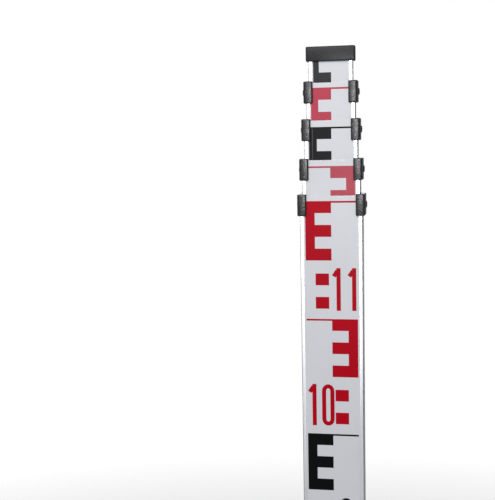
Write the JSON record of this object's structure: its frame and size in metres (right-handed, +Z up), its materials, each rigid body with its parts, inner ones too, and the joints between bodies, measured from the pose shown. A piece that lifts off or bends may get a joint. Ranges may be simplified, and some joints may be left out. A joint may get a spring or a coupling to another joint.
{
  "type": "telescopic leveling rod",
  "caption": "Telescopic aluminium leveling rod, closed, with black moulded collars, a printed E graduation in front and a centimetre scale on the back.",
  "frame": {"origin": "centre of the bounding box's underside, on the foot plate's lower face", "axes": "+Z up along the rod, the E graduation faces -Y, the centimetre scale faces +Y"},
  "size_m": [0.059, 0.0318, 1.2279],
  "materials": {
    "aluminium": "satin anodised",
    "white_film": "white printed film, satin",
    "silver_film": "silver printed film, satin",
    "black_plastic": "fine-grained black moulding",
    "steel": "zinc plated",
    "rivet_steel": "bright or black-headed blind rivet",
    "brass": "nickel plated"
  },
  "bodies": {
    "section_1": {"tube_1": "aluminium", "front_scale_1": "white_film", "back_scale_1": "silver_film", "collar_1": "black_plastic", "collar_rivet_1_left": "rivet_steel", "collar_rivet_1_right": "rivet_steel", "foot_plug": "black_plastic", "foot_plate": "steel", "foot_screw_left": "steel", "foot_screw_right": "steel", "foot_rivet_left": "rivet_steel", "foot_rivet_right": "rivet_steel"},
    "section_2": {"tube_2": "aluminium", "front_scale_2": "white_film", "back_scale_2": "silver_film", "collar_2": "black_plastic", "collar_rivet_2_left": "rivet_steel", "collar_rivet_2_right": "rivet_steel", "guide_plug_2": "black_plastic", "plug_pin_2": "steel", "lock_spring_2": "steel"},
    "lock_button_2": {"lock_button_2": "brass"},
    "section_3": {"tube_3": "aluminium", "front_scale_3": "white_film", "back_scale_3": "silver_film", "collar_3": "black_plastic", "collar_rivet_3_left": "rivet_steel", "collar_rivet_3_right": "rivet_steel", "guide_plug_3": "black_plastic", "plug_pin_3": "steel", "lock_spring_3": "steel"},
    "lock_button_3": {"lock_button_3": "brass"},
    "section_4": {"tube_4": "aluminium", "front_scale_4": "white_film", "back_scale_4": "silver_film", "collar_4": "black_plastic", "collar_rivet_4_left": "rivet_steel", "collar_rivet_4_right": "rivet_steel", "guide_plug_4": "black_plastic", "plug_pin_4": "steel", "lock_spring_4": "steel"},
    "lock_button_4": {"lock_button_4": "brass"},
    "section_5": {"tube_5": "aluminium", "front_scale_5": "white_film", "back_scale_5": "silver_film", "top_cap": "black_plastic", "cap_rivet": "rivet_steel", "guide_plug_5": "black_plastic", "plug_pin_5": "steel", "lock_spring_5": "steel"},
    "lock_button_5": {"lock_button_5": "brass"}
  },
  "joints": [
    {"name": "section_2_slide", "type": "slide", "parent": "section_1", "child": "section_2", "axis": [0, 0, 1], "range_m": [0, 0.871]},
    {"name": "section_3_slide", "type": "slide", "parent": "section_2", "child": "section_3", "axis": [0, 0, 1], "range_m": [0, 0.9675]},
    {"name": "section_4_slide", "type": "slide", "parent": "section_3", "child": "section_4", "axis": [0, 0, 1], "range_m": [0, 0.9675]},
    {"name": "section_5_slide", "type": "slide", "parent": "section_4", "child": "section_5", "axis": [0, 0, 1], "range_m": [0, 0.9675]},
    {"name": "lock_button_2_press", "type": "slide", "parent": "section_2", "child": "lock_button_2", "axis": [0, 1, 0], "range_m": [0, 0.0016], "stiffness_N_per_m": 400, "springref_m": 0.004, "deforming": ["lock_spring_2"]},
    {"name": "lock_button_3_press", "type": "slide", "parent": "section_3", "child": "lock_button_3", "axis": [0, 1, 0], "range_m": [0, 0.0016], "stiffness_N_per_m": 400, "springref_m": 0.004, "deforming": ["lock_spring_3"]},
    {"name": "lock_button_4_press", "type": "slide", "parent": "section_4", "child": "lock_button_4", "axis": [0, 1, 0], "range_m": [0, 0.0016], "stiffness_N_per_m": 400, "springref_m": 0.004, "deforming": ["lock_spring_4"]},
    {"name": "lock_button_5_press", "type": "slide", "parent": "section_5", "child": "lock_button_5", "axis": [0, 1, 0], "range_m": [0, 0.0016], "stiffness_N_per_m": 400, "springref_m": 0.004, "deforming": ["lock_spring_5"]}
  ]
}
